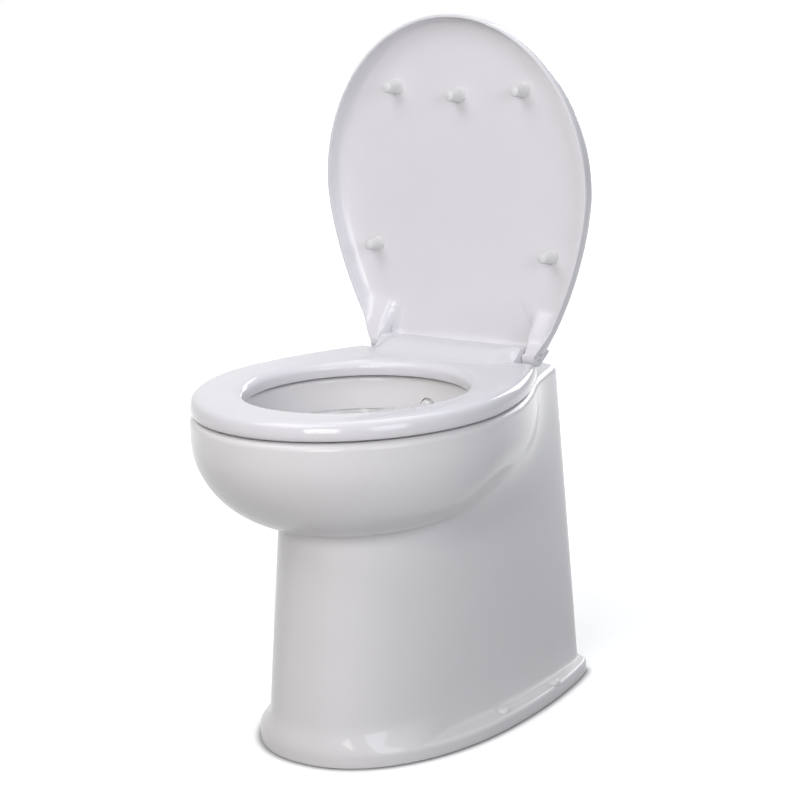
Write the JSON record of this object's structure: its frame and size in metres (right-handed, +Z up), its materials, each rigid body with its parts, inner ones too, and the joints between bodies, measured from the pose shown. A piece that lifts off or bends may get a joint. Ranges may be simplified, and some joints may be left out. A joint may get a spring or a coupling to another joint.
{
  "type": "electric marine toilet",
  "caption": "Electric marine toilet: skirted china bowl with a hinged seat and lid, and a macerator pump, rinse valve and swivelling discharge elbow in its base.",
  "frame": {"origin": "on the floor, under the middle of the whole part's box with the lid open", "axes": "+Z up, -Y to the front of the bowl, +X to the right side when seen from the front"},
  "size_m": [0.377, 0.501, 0.8199],
  "materials": {
    "china": "white glazed vitreous china, high gloss",
    "seat_plastic": "white moulded thermoset, glossy",
    "white_rubber": "white soft elastomer, satin",
    "cap_plastic": "white moulded plastic, satin",
    "grey_plastic": "grey moulded polypropylene, satin",
    "black_plastic": "black glass-filled nylon, satin",
    "hose_plastic": "translucent white PVC hose, satin",
    "black_rubber": "black nitrile rubber, matte",
    "stainless_steel": "brushed stainless steel",
    "cast_aluminium": "cast and turned aluminium",
    "motor_enamel": "white enamel on a steel case",
    "rotor_winding": "lacquered copper winding on a laminated core"
  },
  "bodies": {
    "china": {"china_body": "china", "floor_screw_1": "stainless_steel", "floor_screw_2": "stainless_steel", "floor_screw_3": "stainless_steel", "floor_screw_4": "stainless_steel", "floor_screw_cap_1": "cap_plastic", "floor_screw_cap_2": "cap_plastic", "floor_screw_cap_3": "cap_plastic", "floor_screw_cap_4": "cap_plastic", "hinge_post_left": "stainless_steel", "hinge_post_right": "stainless_steel", "hinge_pin_left": "cap_plastic", "hinge_pin_right": "cap_plastic", "hinge_stud_left": "stainless_steel", "hinge_stud_right": "stainless_steel", "hinge_washer_left": "black_rubber", "hinge_washer_right": "black_rubber", "hinge_wing_nut_left": "black_plastic", "hinge_wing_nut_right": "black_plastic", "outlet_sleeve": "black_rubber", "outlet_clamp_upper": "stainless_steel", "outlet_clamp_lower": "stainless_steel", "outlet_elbow": "grey_plastic", "pump_housing": "black_plastic", "chopper_plate": "stainless_steel", "shaft_seal": "black_rubber", "motor_front_plate": "cast_aluminium", "motor_case": "motor_enamel", "motor_end_cap": "black_plastic", "bearing_front": "stainless_steel", "bearing_rear": "stainless_steel", "motor_cradle": "grey_plastic", "rubber_mount": "black_rubber", "motor_strap": "stainless_steel", "floor_tray": "grey_plastic", "joker_valve": "black_rubber", "solenoid_valve_body": "black_plastic", "solenoid_coil": "black_plastic", "plunger_spring": "stainless_steel", "valve_bracket": "stainless_steel", "rinse_nozzle": "cap_plastic", "nozzle_grommet": "white_rubber", "rinse_hose": "hose_plastic"},
    "seat": {"seat": "seat_plastic", "seat_bumper_front_left": "white_rubber", "seat_bumper_front_right": "white_rubber", "seat_bumper_rear_left": "white_rubber", "seat_bumper_rear_right": "white_rubber"},
    "lid": {"lid": "seat_plastic", "lid_bumper_front_left": "white_rubber", "lid_bumper_front_middle": "white_rubber", "lid_bumper_front_right": "white_rubber", "lid_bumper_rear_left": "white_rubber", "lid_bumper_rear_right": "white_rubber"},
    "rotor": {"motor_shaft": "stainless_steel", "rotor_core": "rotor_winding", "chopper_blade": "stainless_steel", "impeller": "black_plastic"},
    "plunger": {"solenoid_plunger": "stainless_steel"},
    "discharge": {"discharge_elbow": "grey_plastic"}
  },
  "joints": [
    {"name": "seat_hinge", "type": "hinge", "parent": "china", "child": "seat", "pos_m": [0, 0.146, 0.42], "axis": [-1, 0, 0], "range_deg": [0, 91]},
    {"name": "lid_hinge", "type": "hinge", "parent": "china", "child": "lid", "pos_m": [0, 0.146, 0.42], "axis": [-1, 0, 0], "range_deg": [-91, 0]},
    {"name": "motor_spin", "type": "hinge", "parent": "china", "child": "rotor", "pos_m": [0, 0.144, 0.072], "axis": [0, 1, 0], "continuous": true},
    {"name": "rinse_plunger", "type": "slide", "parent": "china", "child": "plunger", "axis": [0, 0, 1], "range_m": [0, 0.003], "stiffness_N_per_m": 300, "deforming": ["plunger_spring"]},
    {"name": "discharge_swivel", "type": "hinge", "parent": "china", "child": "discharge", "pos_m": [0, 0.0655, 0.1343], "axis": [0, 0, 1], "range_deg": [-25, 25]}
  ]
}
